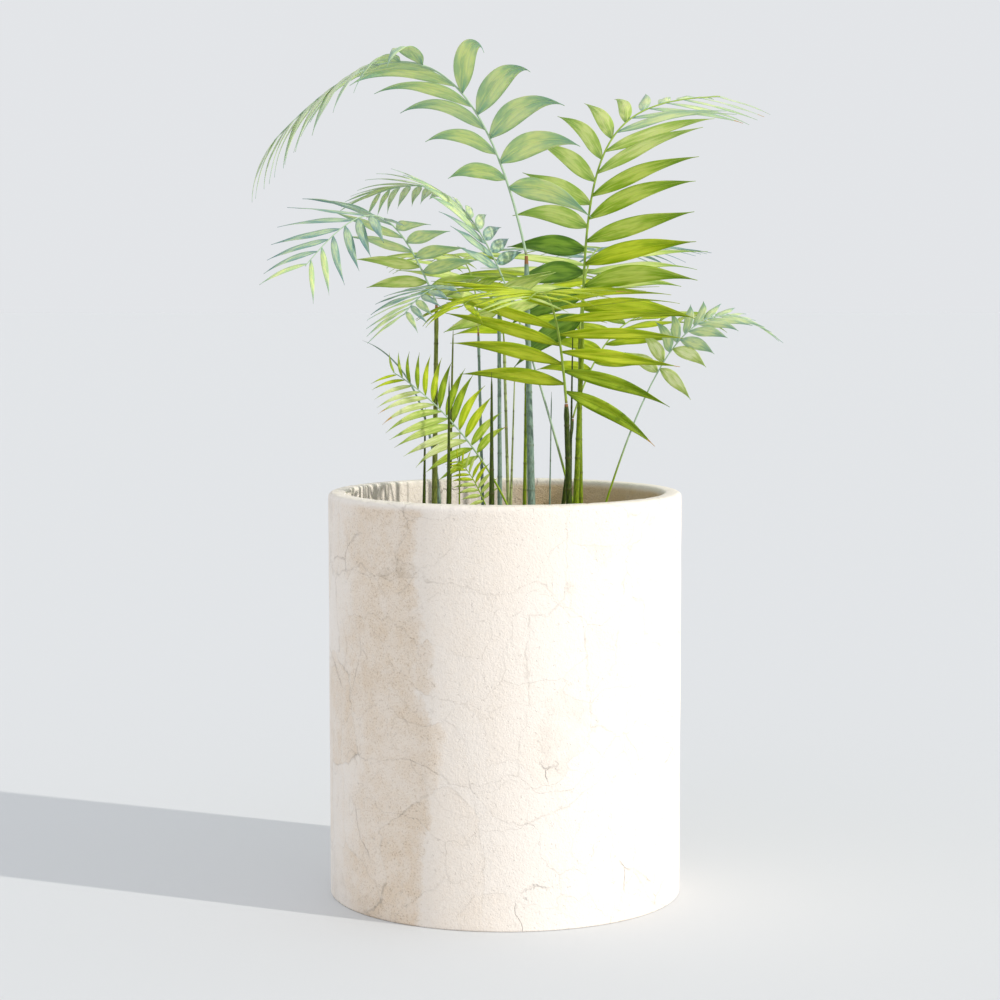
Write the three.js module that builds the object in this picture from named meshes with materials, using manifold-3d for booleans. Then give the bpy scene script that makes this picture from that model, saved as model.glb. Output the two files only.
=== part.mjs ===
// A parlor palm in a cylindrical plaster pot: pot, soil, canes with bare spears, and arching fronds.
// Millimetres, +Z up, +X to the right and -Y to the front. The origin is the middle of the pot's underside.
import * as THREE from 'three';
import { mergeVertices } from 'three/addons/utils/BufferGeometryUtils.js';
import Module from 'manifold-3d';

const wasm = await Module();
wasm.setup();

// Driving sizes of the pot and its filling
const POT_WIDTH = 350;
const POT_HEIGHT = 400;
const POT_WALL = 18;
const POT_FLOOR = 30;
const OUTER_LIP = 8;
const INNER_LIP = 3;
const FOOT_EDGE = 2;
const SOIL_TOP = 355;
const ROUND_STEPS = 40;

// Room between two pieces that touch
const CLEAR = 0.35;

// Coarseness of the plant's solids
const CANE_SIDES = 6;
const CANE_STEPS = 5;
const RIB_SIDES = 3;
const RIB_STEPS = 27;
const LEAF_LINE = 12;
// Corners nearer than this to the line between their neighbours are dropped
const SMOOTHING = 0.12;

// A leaflet's outline: it is widest at WIDEST of its length, and its keel is THICK of its length deep
const SWELL = 0.7;
const TAPER = 1.2;
const WIDEST = SWELL / (SWELL + TAPER);
const THICK = 0.012;
const LEAST_KEEL = 0.7;
const LEAF_FOOT = 0.12;
// The sections of a coarse blade stand nearer to its foot by this power
const LEAD = 1.2;

// Leaflets are longest at LONGEST of the leafy stretch
const LONGEST = 0.35;
// The second leaflet of each pair leaves the rib this share of a step later
const STAGGER = 0.35;
const LAST_LEAF = 0.985;
// Shorter leaflets are narrower by this power of their length
const NARROWING = 0.8;
// Powers by which a frond's leaflets roll and grow short along its leafy stretch
const ROLLING = 0.6;
const SHORTENING = 1.5;
// A leaflet stands at its opening angle at this share of its length, and sags more by this factor at its end
const CURL_REST = 0.3;
const SAG_GROWTH = 1.6;

// Detail of the turned shapes and the ribs
const LIP_STEPS = 3;
const LEAST_STEPS = 4;
// Corners nearer than this are one, and nothing is divided by less than this
const SAME = 1e-4;
const NEXT_TO_NOTHING = 1e-6;

// Canes and spears: where each leaves the soil, where it ends, and its thickness at both ends.
// A bow is the point that a curved one is drawn towards.
const CANES = [
  { name: 'cane_top_left', foot: [27, 10], top: [21, 10, 632], thick: [8, 4.4] },
  { name: 'cane_right_tall', foot: [70, 25], top: [77, 25, 554], thick: [6, 4.6] },
  { name: 'cane_right_back', foot: [78, 75], top: [76, 72, 556], thick: [4.4, 3.2] },
  { name: 'cane_front_low', foot: [64, -20], top: [60, -20, 487], thick: [6.8, 4.6] },
  { name: 'cane_left_wide', foot: [-71, 20], top: [-68, 20, 584], thick: [6, 3.6] },
  { name: 'cane_left_low', foot: [-5, 0], top: [-6, 0, 586], thick: [4.8, 3.2] },
  { name: 'cane_middle', foot: [4, 22], top: [-1, -5, 547], thick: [3.4, 2.6] },
  { name: 'cane_rear_left', foot: [-22, 70], top: [-27, 70, 556], thick: [3.4, 2.6] },
  { name: 'cane_rear', foot: [20, 90], top: [22, 90, 513], thick: [4, 3] },
  { name: 'cane_rear_right', foot: [58, 105], top: [70, 100, 466], thick: [4.4, 3] },
  { name: 'spear_far_left', foot: [-82, 40], top: [-80, 40, 483], thick: [4, 1] },
  { name: 'spear_left', foot: [-57, 50], top: [-52, 50, 564], thick: [4.6, 1.2] },
  { name: 'spear_arching', foot: [-66, 72], bow: [-70, 74, 520], top: [-145, 80, 547], thick: [4, 0.9] },
  { name: 'spear_front_left', foot: [-55, -62], top: [-54, -60, 516], thick: [5, 1.2] },
  { name: 'spear_thin_left', foot: [-46, 24], top: [-45, 24, 469], thick: [1.8, 1] },
  { name: 'spear_front', foot: [-13, -66], top: [-13, -64, 520], thick: [6.4, 1.4] },
  { name: 'spear_middle', foot: [5, 40], top: [10, 42, 521], thick: [3, 1] },
  { name: 'spear_thin_right', foot: [45, 52], top: [47, 52, 496], thick: [1.8, 1] },
  { name: 'spear_right', foot: [64, 2], top: [67, 3, 565], thick: [3.6, 1] },
];

// Leaf colours: yellow-green low in the crown and pale green at its top and its left
const BRIGHT_GREEN = 0x9db52a;
const PALE_GREEN = 0x9fb98a;

// Fronds. A rib rises from its cane or the soil, is drawn towards its crest and ends at its tip.
// pull is how closely it follows the crest, and bare is the share of it that has no leaflets.
// roll turns the leafy plane about the rib, and angle opens the leaflets from it, both at the base and the tip.
// opening is the power by which that angle changes along the rib, and curl bends leaflets towards its tip.
// skew opens one side more than the other, and uneven makes it longer.
// sag is how far leaflets droop at the base and the tip of the rib, in degrees.
// slim is how much narrower leaflets are at the tip.
// A frond with a split is two pieces, parted at that share of its rib, where it bends.
const FROND = {
  pull: 0.7, bare: 0.15, roll: [0, 0], angle: [90, 40], opening: 0.7, skew: 0, uneven: 0, sag: [8, 20],
  lift: 8, curl: -6, ends: [0.75, 0.6], slim: 0.5, rib: [3.2, 1.3], steps: 3,
  green: BRIGHT_GREEN,
};
const FRONDS = [
  {
    ...FROND, name: 'frond_top_left', cane: 'cane_top_left', crest: [-45, 8, 940], tip: [-212, -155, 735],
    pull: 0.66, bare: 0.16, roll: [8, 22], angle: [91, 7], opening: 0.45, skew: 10, uneven: 0.04,
    sag: [21, 50], lift: 12, curl: 0, ends: [0.85, 0.62],
    slim: 0.4, pairs: 14, leaf: 114, wide: 27, rib: [3.8, 1.4], split: 0.47, green: PALE_GREEN,
  },
  {
    ...FROND, name: 'frond_right_tall', cane: 'cane_right_tall', crest: [78, -28, 780], tip: [217, 78, 793],
    pull: 0.86, bare: 0.05, roll: [38, 21], angle: [103, 25], skew: 18, uneven: -0.04, sag: [10, 9],
    lift: -11, curl: 0, ends: [0.97, 0.5],
    slim: 0.42, pairs: 15, leaf: 118, wide: 24, rib: [4.2, 1.5], split: 0.55,
  },
  {
    ...FROND, name: 'frond_right_back', cane: 'cane_right_back', crest: [83, 120, 660], tip: [121, 360, 641],
    angle: [92, 40], pairs: 11, leaf: 130, wide: 21, rib: [3, 1.3], split: 0.35,
  },
  {
    ...FROND, name: 'frond_front_low', cane: 'cane_front_low', crest: [49, -40, 620], tip: [20, -260, 590],
    bare: 0.04, angle: [104, 35], skew: 17, sag: [4, 15], ends: [0.85, 0.5],
    pairs: 14, leaf: 124, wide: 21, rib: [4, 1.4], split: 0.45,
  },
  {
    ...FROND, name: 'frond_right_low', foot: [91, 10], crest: [162, -49, 611], tip: [252, -5, 563],
    pull: 0.75, bare: 0.57, roll: [61, 4], angle: [92, 28], skew: -7, uneven: -0.06, sag: [7, 13], lift: 0,
    ends: [0.86, 0.5], pairs: 12, leaf: 55, wide: 15, rib: [3.4, 1.2], steps: 2, green: PALE_GREEN,
  },
  {
    ...FROND, name: 'frond_left_arch', foot: [76, 44], crest: [-22, -9, 730], tip: [-128, 76, 696],
    pull: 0.83, bare: 0.61, roll: [-26, 14], angle: [69, 30], skew: -20, sag: [8, 22], lift: 0, curl: 0,
    ends: [0.77, 0.65],
    pairs: 14, leaf: 78, wide: 17, rib: [4, 1.3], split: 0.55, steps: 2, green: PALE_GREEN,
  },
  {
    ...FROND, name: 'frond_left_wide', cane: 'cane_left_wide', crest: [-119, -30, 712], tip: [-189, -97, 621],
    pull: 0.81, bare: 0.08, roll: [36, -45], angle: [88, 39], skew: 8, uneven: -0.05, sag: [4, 17], lift: 2,
    curl: 0, pairs: 12, leaf: 80, wide: 20, slim: 0.42, rib: [3, 1.3], green: PALE_GREEN,
  },
  {
    ...FROND, name: 'frond_left_low', cane: 'cane_left_low', crest: [-66, -20, 622], tip: [-96, -95, 575],
    bare: 0.2, roll: [10, 0], ends: [0.75, 0.75], slim: 0.45,
    pairs: 10, leaf: 62, wide: 15, rib: [2.8, 1.2], steps: 2, green: PALE_GREEN,
  },
  {
    ...FROND, name: 'frond_fan', foot: [15, -14], crest: [-23, -20, 466], tip: [-109, -40, 519],
    pull: 0.6, bare: 0.43, roll: [-90, -90], angle: [80, 42], uneven: 0.1, sag: [4, 4], lift: 0, curl: -18,
    ends: [0.75, 0.4], pairs: 13, leaf: 58, wide: 13, rib: [3.6, 1.3], steps: 2,
  },
  {
    ...FROND, name: 'frond_young', foot: [-8, -40], crest: [-24, -40, 416], tip: [-46, -50, 434],
    pull: 0.6, bare: 0.45, roll: [-90, -90], angle: [78, 42], sag: [4, 4], curl: -18,
    pairs: 9, leaf: 25, wide: 6, rib: [2, 1], steps: 2,
  },
  {
    ...FROND, name: 'frond_middle', cane: 'cane_middle', crest: [-5, -20, 613], tip: [-41, -120, 583],
    bare: 0.2, roll: [40, 0], angle: [95, 45], sag: [8, 30],
    pairs: 7, leaf: 72, wide: 22, rib: [2.4, 1.2], green: PALE_GREEN,
  },
  {
    ...FROND, name: 'frond_rear_left', cane: 'cane_rear_left', crest: [-30, 120, 658], tip: [-83, 330, 629],
    pairs: 10, leaf: 92, wide: 21, rib: [2.6, 1.2], steps: 2,
  },
  {
    ...FROND, name: 'frond_rear', cane: 'cane_rear', crest: [26, 150, 650], tip: [64, 400, 607],
    pairs: 11, leaf: 105, wide: 21, rib: [2.8, 1.3], split: 0.42, steps: 2,
  },
  {
    ...FROND, name: 'frond_rear_right', cane: 'cane_rear_right', crest: [110, 140, 598], tip: [205, 300, 567],
    bare: 0.2, pairs: 9, leaf: 85, wide: 18, rib: [2.8, 1.2], steps: 2,
  },
];

// Materials
const plaster = () => new THREE.MeshStandardMaterial({ color: 0xd8d0c2, roughness: 0.85, metalness: 0 });
const earth = () => new THREE.MeshStandardMaterial({ color: 0x4a3a2c, roughness: 1, metalness: 0 });
const caneGreen = () => new THREE.MeshStandardMaterial({ color: 0x6f8a4a, roughness: 0.6, metalness: 0 });
const leafGreen = (color) => new THREE.MeshStandardMaterial({ color, roughness: 0.5, metalness: 0 });

// Small helpers
const radians = THREE.MathUtils.degToRad;
const between = ([start, end], share) => start + (end - start) * share;
const vector = (place) => new THREE.Vector3(...place);

// Moves each corner of a round three.js shape that stands on +Y to the place that `place` gives.
// share runs from 0 at its foot to 1 at its top, and across and deep are the corner on a unit circle.
function reshaped(geometry, place) {
  const corners = geometry.attributes.position;
  const pointed = geometry.type === 'ConeGeometry';
  for (let i = 0; i < corners.count; i += 1) {
    const share = THREE.MathUtils.clamp(corners.getY(i) + 0.5, 0, 1);
    const radius = pointed ? Math.max(1 - share, NEXT_TO_NOTHING) : 1;
    const spot = place(share, corners.getX(i) / radius, corners.getZ(i) / radius);
    corners.setXYZ(i, spot.x, spot.y, spot.z);
  }
  return geometry;
}

// A closed three.js geometry as a solid that can be joined and cut
function solidOf(geometry) {
  const bare = geometry.clone();
  bare.deleteAttribute('normal');
  bare.deleteAttribute('uv');
  const merged = mergeVertices(bare, SAME);
  const mesh = new wasm.Mesh({
    numProp: 3,
    vertProperties: new Float32Array(merged.attributes.position.array),
    triVerts: new Uint32Array(merged.index.array),
  });
  return new wasm.Manifold(mesh);
}

// A solid as a three.js geometry again
function geometryOf(solid) {
  const mesh = solid.getMesh();
  const geometry = new THREE.BufferGeometry();
  geometry.setAttribute('position', new THREE.BufferAttribute(mesh.vertProperties, 3));
  geometry.setIndex(new THREE.BufferAttribute(mesh.triVerts, 1));
  const faceted = geometry.toNonIndexed();
  faceted.computeVertexNormals();
  return faceted;
}

function named(name, geometry, material) {
  const mesh = new THREE.Mesh(geometry, material);
  mesh.name = name;
  return mesh;
}

// A profile of [radius, height] points turned about +Z
function turned(profile) {
  const outline = profile.map(([radius, height]) => new THREE.Vector2(radius, height));
  return new THREE.LatheGeometry(outline, ROUND_STEPS).rotateX(Math.PI / 2);
}

// Points of a quarter round from one corner side to the other, about a centre
function quarter(radius, height, size, start, end) {
  return Array.from({ length: LIP_STEPS + 1 }, (_, i) => {
    const turn = radians(between([start, end], i / LIP_STEPS));
    return [radius + size * Math.cos(turn), height + size * Math.sin(turn)];
  });
}

// The pot: a plain cylinder with an open top, a flat rim and softened lips
function makePot() {
  const outer = POT_WIDTH / 2;
  const inner = outer - POT_WALL;
  const profile = [
    [0, 0],
    [outer - FOOT_EDGE, 0],
    [outer, FOOT_EDGE],
    ...quarter(outer - OUTER_LIP, POT_HEIGHT - OUTER_LIP, OUTER_LIP, 0, 90),
    ...quarter(inner + INNER_LIP, POT_HEIGHT - INNER_LIP, INNER_LIP, 90, 180),
    [inner, POT_FLOOR],
    [0, POT_FLOOR],
  ];
  return named('pot', turned(profile), plaster());
}

// The soil fills the pot to below its rim
function makeSoil() {
  const radius = POT_WIDTH / 2 - POT_WALL - CLEAR;
  const profile = [[0, POT_FLOOR + CLEAR], [radius, POT_FLOOR + CLEAR], [radius, SOIL_TOP], [0, SOIL_TOP]];
  return named('soil', turned(profile), earth());
}

// A tapering limb along a curve, from one share of it to another
function limb(curve, thick, sides, steps, from = 0, to = 1) {
  const rod = new THREE.CylinderGeometry(1, 1, 1, sides, steps);
  return reshaped(rod, (share, across, deep) => {
    const along = between([from, to], share);
    const heading = curve.getTangentAt(along);
    const left = new THREE.Vector3(0, -1, 0).cross(heading).normalize();
    const under = left.clone().cross(heading);
    const radius = between(thick, along) / 2;
    return curve.getPointAt(along)
      .addScaledVector(left, across * radius)
      .addScaledVector(under, deep * radius);
  });
}

function caneCurve({ foot, bow, top }) {
  const start = vector([...foot, SOIL_TOP + CLEAR]);
  const end = vector(top);
  const middle = bow ? vector(bow) : start.clone().lerp(end, 0.5);
  return new THREE.QuadraticBezierCurve3(start, middle, end);
}

// A frond's rib starts above its cane's end, or on the soil
function ribCurve(frond) {
  const cane = CANES.find((one) => one.name === frond.cane);
  const start = cane ? vector(cane.top) : vector([...frond.foot, SOIL_TOP + CLEAR]);
  const crest = vector(frond.crest);
  const tip = vector(frond.tip);
  const lean = crest.clone().sub(start).normalize();
  const thick = cane ? cane.thick[1] : frond.rib[0];
  start.z += (Math.hypot(lean.x, lean.y) * thick) / 2 + (cane ? CLEAR : 0);
  return new THREE.CubicBezierCurve3(
    start,
    start.clone().lerp(crest, frond.pull),
    tip.clone().lerp(crest, frond.pull),
    tip,
  );
}

// The rib's place, its heading, and the left and up sides of the leafy plane at a share of its length
function ribFrame(frond, curve, share) {
  const level = curve.getPoint(1).sub(curve.getPoint(0));
  const heading = curve.getTangentAt(share);
  const flat = new THREE.Vector3(-level.y, level.x, 0).normalize();
  const side = flat.addScaledVector(heading, -flat.dot(heading)).normalize();
  const up = heading.clone().cross(side);
  const leafy = THREE.MathUtils.clamp((share - frond.bare) / (1 - frond.bare), 0, 1);
  const roll = radians(between(frond.roll, leafy ** ROLLING));
  const left = side.clone().multiplyScalar(Math.cos(roll)).addScaledVector(up, Math.sin(roll));
  const face = up.clone().multiplyScalar(Math.cos(roll)).addScaledVector(side, -Math.sin(roll));
  return { place: curve.getPointAt(share), heading, left, face };
}

// Share of the full leaflet length at a share of the leafy stretch
function fullness(frond, leafy) {
  const [base, end] = frond.ends;
  const rising = base + (1 - base) * Math.sin((Math.PI / 2) * Math.min(leafy / LONGEST, 1));
  const falling = 1 - (1 - end) * Math.max((leafy - LONGEST) / (1 - LONGEST), 0) ** SHORTENING;
  return rising * falling;
}

// The middle line of one leaflet, as places and headings, with its length and width
function leafletLine(frond, curve, pair, side) {
  const leafy = (pair + (side > 0 ? 0 : STAGGER)) / (frond.pairs - 1 + STAGGER);
  const share = frond.bare + (1 - frond.bare) * leafy * LAST_LEAF;
  const { place, heading, left, face } = ribFrame(frond, curve, share);
  const open = radians(between(frond.angle, leafy ** frond.opening) + side * frond.skew * (1 - leafy));
  const length = frond.leaf * fullness(frond, leafy) * (1 + side * frond.uneven);
  const width = frond.wide * fullness(frond, leafy) ** NARROWING * between([1, frond.slim], leafy);
  const lift = radians(frond.lift);
  const sag = between(frond.sag, leafy);
  const places = [place.clone()];
  const headings = [];
  for (let i = 0; i < LEAF_LINE; i += 1) {
    const along = (i + 0.5) / LEAF_LINE;
    const angle = open - radians(frond.curl) * (along - CURL_REST);
    const ahead = heading.clone().multiplyScalar(Math.cos(angle))
      .addScaledVector(left, Math.sin(angle) * side * Math.cos(lift))
      .addScaledVector(face, Math.sin(angle) * Math.sin(lift));
    ahead.z -= Math.tan(radians(sag * along * SAG_GROWTH));
    headings.push(ahead.normalize());
    places.push(places[i].clone().addScaledVector(ahead, length / LEAF_LINE));
  }
  headings.push(headings[LEAF_LINE - 1]);
  return { places, headings, face, length, width, share, steps: frond.steps };
}

// Share of the full width at a share of a leaflet's length
const unscaled = (along) => along ** SWELL * (1 - along) ** TAPER;
const outline = (along) => unscaled(along) / unscaled(WIDEST);

// A leaflet as a thin three-sided blade with its keel below. room makes it that much larger all round.
// Its flat side is at LOW of the unit circle and its keel at 1, and its edges are at EDGE across.
const EDGE = Math.sin(Math.PI / 3);
const LOW = -0.5;
function blade(line, room = 0) {
  const keel = Math.max(line.length * THICK, LEAST_KEEL);
  const cone = new THREE.ConeGeometry(1, 1, 3, line.steps);
  return reshaped(cone, (share, across, deep) => {
    const index = Math.round(share ** LEAD * LEAF_LINE);
    const heading = line.headings[index];
    const edge = line.face.clone().cross(heading).normalize();
    const above = heading.clone().cross(edge).negate();
    const narrow = Math.max(outline(index / LEAF_LINE), index === 0 ? LEAF_FOOT : 0);
    const half = (line.width / 2) * narrow + room;
    const depth = share < 1 ? keel + room : room;
    const down = ((deep - LOW) / (1 - LOW)) * (depth + room) - room;
    return line.places[index].clone()
      .addScaledVector(edge, (across / EDGE) * half)
      .addScaledVector(above, down);
  });
}

// The canes come first, then every rib, and then leaflets where they have room
const canes = CANES.map((cane) => {
  const geometry = limb(caneCurve(cane), cane.thick, CANE_SIDES, CANE_STEPS);
  return { name: cane.name, solid: solidOf(geometry), geometry };
});

// Each frond is one piece, or two that meet at its split
const pieces = FRONDS.flatMap((frond) => {
  const curve = ribCurve(frond);
  const parting = CLEAR / curve.getLength();
  const stretches = frond.split
    ? [['_lower', 0, frond.split], ['_outer', frond.split + parting, 1]]
    : [['', 0, 1]];
  return stretches.map(([ending, from, to]) => {
    const steps = Math.max(Math.round(RIB_STEPS * (to - from)), LEAST_STEPS);
    const solid = solidOf(limb(curve, frond.rib, RIB_SIDES, steps, from, to));
    return { name: frond.name + ending, frond, curve, from, to, solid, leaves: [] };
  });
});

function meets(solid, room) {
  return !solid.intersect(room).isEmpty();
}

for (const piece of pieces) {
  const others = [...canes, ...pieces.filter((one) => one !== piece)];
  for (let pair = 0; pair < piece.frond.pairs; pair += 1) {
    for (const side of [1, -1]) {
      const line = leafletLine(piece.frond, piece.curve, pair, side);
      const here = line.share >= piece.from && line.share <= piece.to;
      const room = here ? solidOf(blade(line, CLEAR)) : null;
      if (room && !others.some((one) => meets(one.solid, room))) {
        piece.solid = piece.solid.add(solidOf(blade(line)));
        piece.leaves.push(line);
      }
    }
  }
}

const group = new THREE.Group();
group.name = 'potted_parlor_palm';
group.add(makePot(), makeSoil());
for (const cane of canes) {
  group.add(named(cane.name, cane.geometry, caneGreen()));
}
for (const piece of pieces) {
  group.add(named(piece.name, geometryOf(piece.solid.simplify(SMOOTHING)), leafGreen(piece.frond.green)));
}

export default group;
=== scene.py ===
# %% [markdown]
# A small parlor palm in a plain plaster planter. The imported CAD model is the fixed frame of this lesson:
# every piece made here stands where its solid stands, and takes its place in the picture.

# %% The frame
import math

import bmesh
import bpy
import numpy as np
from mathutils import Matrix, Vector, kdtree, noise


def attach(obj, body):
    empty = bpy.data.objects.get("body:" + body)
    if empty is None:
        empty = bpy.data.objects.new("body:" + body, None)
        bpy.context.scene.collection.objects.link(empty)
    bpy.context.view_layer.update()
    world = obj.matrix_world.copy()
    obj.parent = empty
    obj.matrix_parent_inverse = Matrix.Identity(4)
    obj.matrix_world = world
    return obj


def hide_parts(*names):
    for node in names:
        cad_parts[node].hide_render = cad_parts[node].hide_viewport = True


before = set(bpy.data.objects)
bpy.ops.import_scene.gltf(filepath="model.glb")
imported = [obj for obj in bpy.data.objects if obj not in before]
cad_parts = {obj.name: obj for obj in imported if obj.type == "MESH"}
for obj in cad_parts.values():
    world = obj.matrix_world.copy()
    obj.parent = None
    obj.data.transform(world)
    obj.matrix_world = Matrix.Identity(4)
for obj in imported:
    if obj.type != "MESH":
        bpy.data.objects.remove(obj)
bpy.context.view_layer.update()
MM = 0.001
SEED = 11

# %% [markdown]
# The camera comes first. It stands where the photograph was taken from, 2.4 m in front of the pot and a
# little above its rim, and looks down by about 5 degrees. A long lens keeps the pot's sides upright.

# %% Camera
CAMERA_PLACE = Vector((-5, -2435, 600)) * MM
CAMERA_DOWN = 4.91
CAMERA_LENS = 88.7
SENSOR_WIDTH = 36

camera_data = bpy.data.cameras.new("camera")
camera_data.lens = CAMERA_LENS
camera_data.sensor_width = SENSOR_WIDTH
camera = bpy.data.objects.new("camera", camera_data)
camera.location = CAMERA_PLACE
camera.rotation_euler = (math.radians(90 - CAMERA_DOWN), 0, 0)
bpy.context.scene.collection.objects.link(camera)
bpy.context.scene.camera = camera
print("camera at", tuple(camera.location))

# %% [markdown]
# Soft studio light: a warm lamp low on the right and a little to the front, and a pale surrounding that
# lights the rest. The lamp is a distant one, so it lights the floor evenly. Its small angle gives the
# leaves' shadows a fairly clear edge, as in the photograph.

# %% Light
KEY_FROM = Vector((0.86, -0.40, 0.40))
KEY_POWER = 2.2
KEY_SOFTNESS = 0.9
KEY_COLOUR = (1.0, 0.96, 0.88)
SURROUND = (0.95, 0.97, 1.0)
SURROUND_POWER = 0.81

key_data = bpy.data.lights.new("key_lamp", "SUN")
key_data.energy = KEY_POWER
key_data.angle = math.radians(KEY_SOFTNESS)
key_data.color = KEY_COLOUR
key = bpy.data.objects.new("key_lamp", key_data)
key.rotation_euler = KEY_FROM.to_track_quat("Z", "Y").to_euler()
bpy.context.scene.collection.objects.link(key)
world = bpy.data.worlds.new("studio")
world.use_nodes = True
background = world.node_tree.nodes["Background"]
background.inputs["Color"].default_value = (*SURROUND, 1)
background.inputs["Strength"].default_value = SURROUND_POWER
bpy.context.scene.world = world
bpy.context.scene.view_settings.view_transform = "Standard"
print("a warm lamp from", tuple(round(x, 2) for x in KEY_FROM), "and a pale surrounding")

# %% [markdown]
# Shader maths reads best as Python. Number wraps one socket, so 1 - mask adds the Math node that it
# stands for. Finish builds a material: node adds any node, set gives the shader's own sockets a constant
# or a link, and coats lays colours over one another. The Mix node's colour sockets are found by their
# place, because its numbers, vectors and colours share their names.

# %% Shader helpers


class Number:
    """A number that changes over a surface."""

    def __init__(self, finish, socket):
        self.finish = finish
        self.socket = socket

    def _math(self, operation, *values):
        return self.finish.number("ShaderNodeMath", {"operation": operation}, dict(enumerate(values)))

    def __add__(self, other):
        return self._math("ADD", self, other)

    def __radd__(self, other):
        return self._math("ADD", other, self)

    def __sub__(self, other):
        return self._math("SUBTRACT", self, other)

    def __rsub__(self, other):
        return self._math("SUBTRACT", other, self)

    def __mul__(self, other):
        return self._math("MULTIPLY", self, other)

    def __rmul__(self, other):
        return self._math("MULTIPLY", other, self)

    def __pow__(self, other):
        return self._math("POWER", self, other)

    def over(self, other):
        """The larger of two."""
        return self._math("MAXIMUM", self, other)

    def size(self):
        """Without its sign."""
        return self._math("ABSOLUTE", self)


def linear(colour):
    """A screen colour of 0 to 255 as the linear values that shaders take, by the usual screen curve."""
    shares = [level / 255 for level in colour]
    return tuple(share / 12.92 if share <= 0.04 else ((share + 0.055) / 1.055) ** 2.4 for share in shares)


MIX_START, MIX_END, MIX_COLOUR = 6, 7, 2


class Finish:
    """A material with one Principled shader."""

    def __init__(self, name):
        self.material = bpy.data.materials.new(name)
        self.material.use_nodes = True
        self.tree = self.material.node_tree
        self.shader = self.tree.nodes["Principled BSDF"]

    def node(self, kind, settings, values):
        """A node with its settings, such as an operation, and then the values or links of its sockets."""
        made = self.tree.nodes.new(kind)
        for name, value in settings.items():
            setattr(made, name, value)
        for key, value in values.items():
            self._feed(made.inputs[key], value)
        return made

    def _feed(self, socket, value):
        if isinstance(value, Number):
            self.tree.links.new(value.socket, socket)
        elif isinstance(value, bpy.types.NodeSocket):
            self.tree.links.new(value, socket)
        elif hasattr(value, "__len__") and socket.type == "RGBA":
            socket.default_value = (*value[:3], 1)
        else:
            socket.default_value = value

    def number(self, kind, settings, values, output=0):
        return Number(self, self.node(kind, settings, values).outputs[output])

    def set(self, **values):
        """Principled sockets by name, with spaces written as underscores."""
        for name, value in values.items():
            self._feed(self.shader.inputs[name.replace("_", " ")], value)

    def object_place(self):
        return self.node("ShaderNodeTexCoord", {}, {}).outputs["Object"]

    def parts(self, vector):
        """The three numbers of a place."""
        outputs = self.node("ShaderNodeSeparateXYZ", {}, {0: vector}).outputs
        return [Number(self, output) for output in outputs]

    def uv(self):
        """The two numbers of the piece's own UV map."""
        return self.parts(self.node("ShaderNodeUVMap", {}, {}).outputs[0])[:2]

    def attribute(self, name):
        return self.number("ShaderNodeAttribute", {"attribute_name": name}, {}, "Fac")

    def shifted(self, place, scale, detail, reach):
        """A place pushed about by noise, up to half of reach each way."""
        values = {"Vector": place, "Scale": scale, "Detail": detail}
        push = self.node("ShaderNodeTexNoise", {}, values).outputs["Color"]
        centred = self.node("ShaderNodeVectorMath", {"operation": "SUBTRACT"}, {0: push, 1: (0.5,) * 3})
        values = {0: centred.outputs[0], 1: (reach,) * 3, 2: place}
        return self.node("ShaderNodeVectorMath", {"operation": "MULTIPLY_ADD"}, values).outputs[0]

    def place_of(self, x, y, z=0.0):
        return self.node("ShaderNodeCombineXYZ", {}, {0: x, 1: y, 2: z}).outputs[0]

    def clouds(self, place, scale, detail, roughness=0.55, distortion=0.0):
        """Noise from 0 to 1."""
        values = {"Vector": place, "Scale": scale, "Detail": detail}
        values.update({"Roughness": roughness, "Distortion": distortion})
        return self.number("ShaderNodeTexNoise", {}, values)

    def band(self, value, low, high):
        """0 below low and 1 above high, with a smooth step between."""
        values = {0: value, 1: low, 2: high, 3: 0.0, 4: 1.0}
        return self.number("ShaderNodeMapRange", {"interpolation_type": "SMOOTHSTEP"}, values)

    def coats(self, ground, *coats):
        """A ground colour under coats, each a share that covers and its colour."""
        base = linear(ground)
        for share, colour in coats:
            values = {0: share, MIX_START: base, MIX_END: linear(colour)}
            base = self.node("ShaderNodeMix", {"data_type": "RGBA"}, values).outputs[MIX_COLOUR]
        return base

    def bump(self, height, distance, strength):
        values = {"Height": height, "Distance": distance, "Strength": strength}
        return self.node("ShaderNodeBump", {}, values).outputs[0]


print("shader helpers ready")

# %% [markdown]
# Pieces are shaped with bmesh. A turned piece starts as an outline in the plane of its axis and is spun
# round it. Faces point outwards, and the corners on the axis are merged, so that the mesh is closed.

# %% Shape helpers
MERGE_REACH = 0.01 * MM
UP = (0, 0, 1)


def keep(bm, name, finishes, slot, *nodes):
    """The bmesh as a finished piece, which stands for these CAD nodes."""
    mesh = bpy.data.meshes.new(name)
    bm.to_mesh(mesh)
    bm.free()
    dress(mesh, name, finishes, slot, *nodes)


def dress(mesh, name, finishes, slot, *nodes):
    """A mesh as an object of the plant, with its materials."""
    piece = bpy.data.objects.new(name, mesh)
    bpy.context.scene.collection.objects.link(piece)
    for finish in finishes:
        mesh.materials.append(finish.material)
    mesh.shade_smooth()
    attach(piece, "root")
    if nodes:
        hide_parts(*nodes)
    print(name, len(mesh.polygons), "faces")
    return piece


def spun(outline, steps, merge_reach):
    """A bmesh from (radius, height) corners, joined to a line and spun round the upright axis."""
    bm = bmesh.new()
    corners = [bm.verts.new((radius, 0, height)) for radius, height in outline]
    edges = [bm.edges.new(pair) for pair in zip(corners, corners[1:])]
    geom = corners + edges
    bmesh.ops.spin(bm, geom=geom, cent=(0, 0, 0), axis=UP, angle=math.tau, steps=steps, use_merge=True)
    bmesh.ops.remove_doubles(bm, verts=bm.verts, dist=merge_reach)
    return bm


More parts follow.
